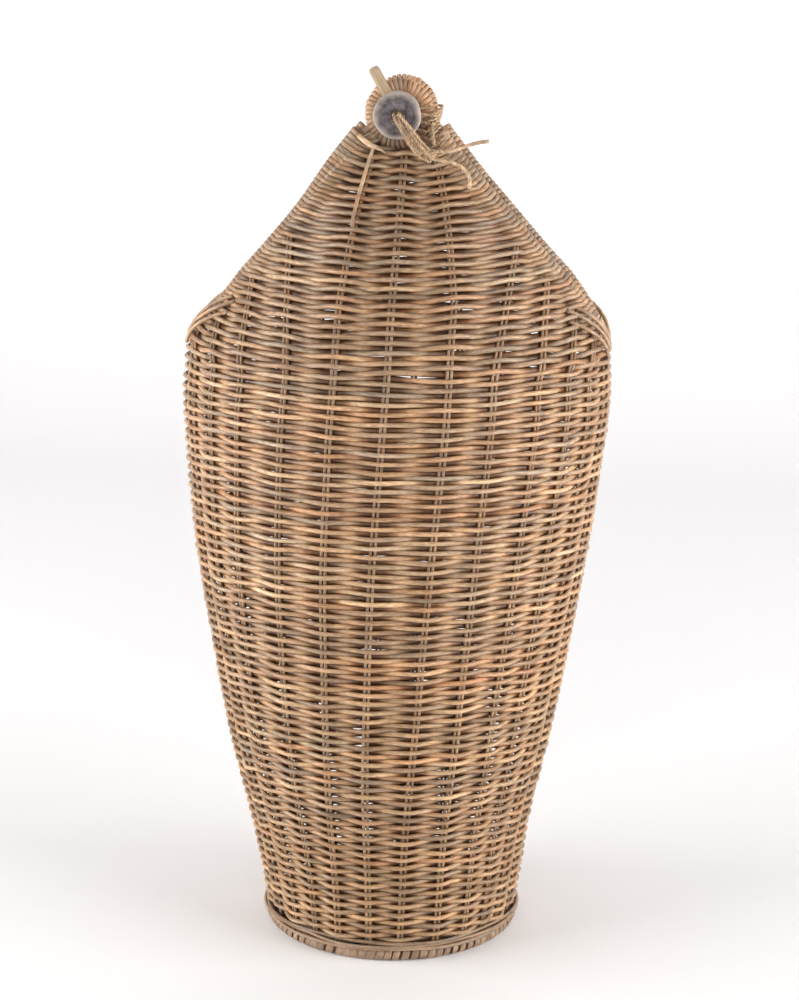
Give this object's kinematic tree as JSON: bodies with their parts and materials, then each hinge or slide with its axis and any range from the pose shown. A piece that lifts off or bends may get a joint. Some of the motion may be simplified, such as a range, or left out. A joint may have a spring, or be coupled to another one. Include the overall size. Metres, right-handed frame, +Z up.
{
  "type": "toilet roll basket",
  "caption": "Tall woven rattan basket for toilet rolls, with a round foot and two gables that meet at wound rings, tied with twine behind a peg and a button.",
  "frame": {"origin": "on the floor, under the middle of the foot hoop", "axes": "+Z up through the basket's middle, -Y towards the viewer (the side with the button), +X to the viewer's right"},
  "size_m": [0.2667, 0.2292, 0.5459],
  "materials": {
    "kubu_rattan": "matte woven grey-brown rattan",
    "stake_rattan": "matte rattan rods",
    "foot_wrap": "matte wound cane, greyer than the wall",
    "binding_cane": "satin split cane",
    "peg_wood": "bare pale stick",
    "button_wood": "matte mottled shell or wood",
    "twine": "plied plant-fibre twine"
  },
  "bodies": {
    "basket": {"base_hoop": "foot_wrap", "base_weave": "kubu_rattan", "base_cross_lower": "kubu_rattan", "base_cross_upper": "kubu_rattan", "body_weave": "kubu_rattan", "front_gable_weave": "kubu_rattan", "back_gable_weave": "kubu_rattan", "front_rim_left": "kubu_rattan", "front_rim_right": "kubu_rattan", "back_rim_left": "kubu_rattan", "back_rim_right": "kubu_rattan", "front_ring": "kubu_rattan", "back_ring": "kubu_rattan", "stake_01": "stake_rattan", "stake_02": "stake_rattan", "stake_03": "stake_rattan", "stake_04": "stake_rattan", "stake_05": "stake_rattan", "stake_06": "stake_rattan", "stake_07": "stake_rattan", "stake_08": "stake_rattan", "stake_09": "stake_rattan", "stake_10": "stake_rattan", "stake_11": "stake_rattan", "stake_12": "stake_rattan", "stake_13": "stake_rattan", "stake_14": "stake_rattan", "stake_15": "stake_rattan", "stake_16": "stake_rattan", "stake_17": "stake_rattan", "stake_18": "stake_rattan", "stake_19": "stake_rattan", "stake_20": "stake_rattan", "stake_21": "stake_rattan", "stake_22": "stake_rattan", "stake_23": "stake_rattan", "stake_24": "stake_rattan", "stake_25": "stake_rattan", "stake_26": "stake_rattan", "front_ring_binding": "binding_cane", "back_ring_binding": "binding_cane", "left_shoulder_lashing": "binding_cane", "right_shoulder_lashing": "binding_cane", "twine_strand_upper": "twine", "twine_strand_lower": "twine", "twine_bridle": "twine", "twine_tail_long": "twine", "twine_tail_short": "twine", "twine_lashing": "twine", "twine_knot": "twine"},
    "peg": {"peg": "peg_wood"},
    "button": {"button": "button_wood"}
  },
  "joints": [
    {"name": "peg_slide", "type": "slide", "parent": "basket", "child": "peg", "axis": [-0.5, 0, 0.866], "range_m": [0, 0.05]},
    {"name": "button_spin", "type": "hinge", "parent": "basket", "child": "button", "pos_m": [0, -0.0274, 0.5177], "axis": [0, -1, 0], "continuous": true}
  ]
}
